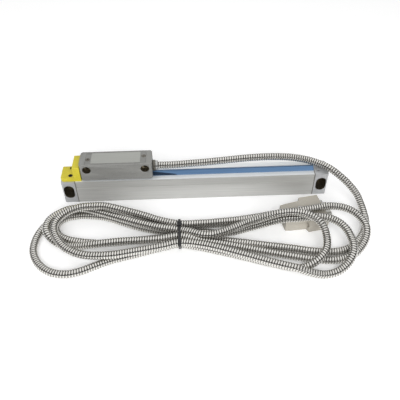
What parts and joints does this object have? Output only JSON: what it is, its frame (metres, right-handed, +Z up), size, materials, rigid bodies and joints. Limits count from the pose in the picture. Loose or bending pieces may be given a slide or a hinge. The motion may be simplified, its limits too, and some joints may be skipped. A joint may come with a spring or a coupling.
{
  "type": "linear glass scale",
  "caption": "Enclosed linear encoder: aluminium scale housing with glass scale, sliding reader head, armoured cable in a tied hank and D-sub connector.",
  "frame": {"origin": "on the ground under the middle of the scale's housing, halfway along it and halfway through its depth", "axes": "+X along the scale towards the end away from the parked head, +Y towards the back, +Z up; the front with the mounting recesses faces -Y"},
  "size_m": [0.3061, 0.126, 0.0448],
  "materials": {
    "anodised_aluminium": "satin natural anodised extrusion",
    "graduated_glass": "clear ground glass",
    "black_rubber": "matt black rubber",
    "blue_seal": "satin blue polyurethane",
    "cast_alloy": "fine-blasted cast alloy",
    "bright_steel": "bright zinc or nickel",
    "black_steel": "black oxide",
    "yellow_plastic": "satin yellow moulded plastic",
    "head_paint": "fine-textured grey coat on cast alloy",
    "cover_metal": "satin grey sheet",
    "plate_foil": "plain satin foil, bare",
    "circuit_board": "green solder mask",
    "spring_steel": "rolled stainless strip",
    "dark_plastic": "black moulded plastic",
    "lamp_resin": "clear lamp resin",
    "flex_film": "amber flexible film",
    "lead_jacket": "dark cable jacket",
    "roller_steel": "polished bearing steel",
    "conduit": "bright interlocked stainless conduit",
    "cable_bulk": "bulk of the bundled conduit and its lead",
    "tie_plastic": "black nylon",
    "hood_beige": "warm grey moulded hood",
    "gold_pins": "gold flash"
  },
  "bodies": {
    "scale": {"housing": "anodised_aluminium", "glass_scale": "graduated_glass", "glass_retaining_cord": "black_rubber", "front_seal_lip": "blue_seal", "rear_seal_lip": "blue_seal", "left_end_cap": "cast_alloy", "right_end_cap": "cast_alloy", "left_cap_gasket": "black_rubber", "right_cap_gasket": "black_rubber", "left_cap_screws": "bright_steel", "right_cap_screws": "bright_steel", "transport_bracket": "yellow_plastic", "bracket_screws": "black_steel"},
    "reader_head": {"index_reticle": "graduated_glass", "cover_gasket": "black_rubber", "cover_screws": "bright_steel", "board_screws": "bright_steel", "blade_screws": "bright_steel", "roller_pins": "bright_steel", "hood_screws": "bright_steel", "gland_body": "bright_steel", "gland_nut": "bright_steel", "cable_ferrule": "bright_steel", "connector_shell": "bright_steel", "head_block": "head_paint", "head_cover": "cover_metal", "nameplate": "plate_foil", "head_circuit_board": "circuit_board", "sensor_board": "circuit_board", "coupling_blade": "spring_steel", "coupling_spring": "spring_steel", "carriage_frame": "dark_plastic", "connector_insulator": "dark_plastic", "lamp": "lamp_resin", "lamp_lead": "flex_film", "flat_lead": "flex_film", "signal_lead": "lead_jacket", "connector_wires": "lead_jacket", "cable_run": "conduit", "cable_hank": "cable_bulk", "cable_tie": "tie_plastic", "hood_lower": "hood_beige", "hood_upper": "hood_beige", "connector_pins": "gold_pins"},
    "left_face_roller": {"left_face_roller": "roller_steel"},
    "right_face_roller": {"right_face_roller": "roller_steel"},
    "upper_face_roller": {"upper_face_roller": "roller_steel"},
    "left_edge_roller": {"left_edge_roller": "roller_steel"},
    "right_edge_roller": {"right_edge_roller": "roller_steel"},
    "front_jackscrew": {"front_jackscrew": "bright_steel"},
    "rear_jackscrew": {"rear_jackscrew": "bright_steel"}
  },
  "joints": [
    {"name": "reader head slide", "type": "slide", "parent": "scale", "child": "reader_head", "axis": [1, 0, 0], "range_m": [0, 0.135]},
    {"name": "left face roller turn", "type": "hinge", "parent": "reader_head", "child": "left_face_roller", "pos_m": [-0.0945, 0.00035, 0.0086], "axis": [0, 0, 1], "continuous": true},
    {"name": "right face roller turn", "type": "hinge", "parent": "reader_head", "child": "right_face_roller", "pos_m": [-0.0505, 0.00035, 0.0086], "axis": [0, 0, 1], "continuous": true},
    {"name": "upper face roller turn", "type": "hinge", "parent": "reader_head", "child": "upper_face_roller", "pos_m": [-0.0725, 0.00035, 0.0132], "axis": [0, 0, 1], "continuous": true},
    {"name": "left edge roller turn", "type": "hinge", "parent": "reader_head", "child": "left_edge_roller", "pos_m": [-0.0895, 0.0034, 0.01655], "axis": [0, 1, 0], "continuous": true},
    {"name": "right edge roller turn", "type": "hinge", "parent": "reader_head", "child": "right_edge_roller", "pos_m": [-0.0555, 0.0034, 0.01655], "axis": [0, 1, 0], "continuous": true},
    {"name": "front jackscrew turn", "type": "hinge", "parent": "reader_head", "child": "front_jackscrew", "pos_m": [0.11667, -0.05331, 0.007], "axis": [0.9848, 0.1736, 0], "continuous": true},
    {"name": "rear jackscrew turn", "type": "hinge", "parent": "reader_head", "child": "rear_jackscrew", "pos_m": [0.11233, -0.02869, 0.007], "axis": [0.9848, 0.1736, 0], "continuous": true}
  ],
  "couplings": [
    {"joint": "left face roller turn", "follows": "reader head slide", "rad_per_m": 500},
    {"joint": "right face roller turn", "follows": "reader head slide", "rad_per_m": 500},
    {"joint": "upper face roller turn", "follows": "reader head slide", "rad_per_m": 500},
    {"joint": "left edge roller turn", "follows": "reader head slide", "rad_per_m": 500},
    {"joint": "right edge roller turn", "follows": "reader head slide", "rad_per_m": 500}
  ]
}
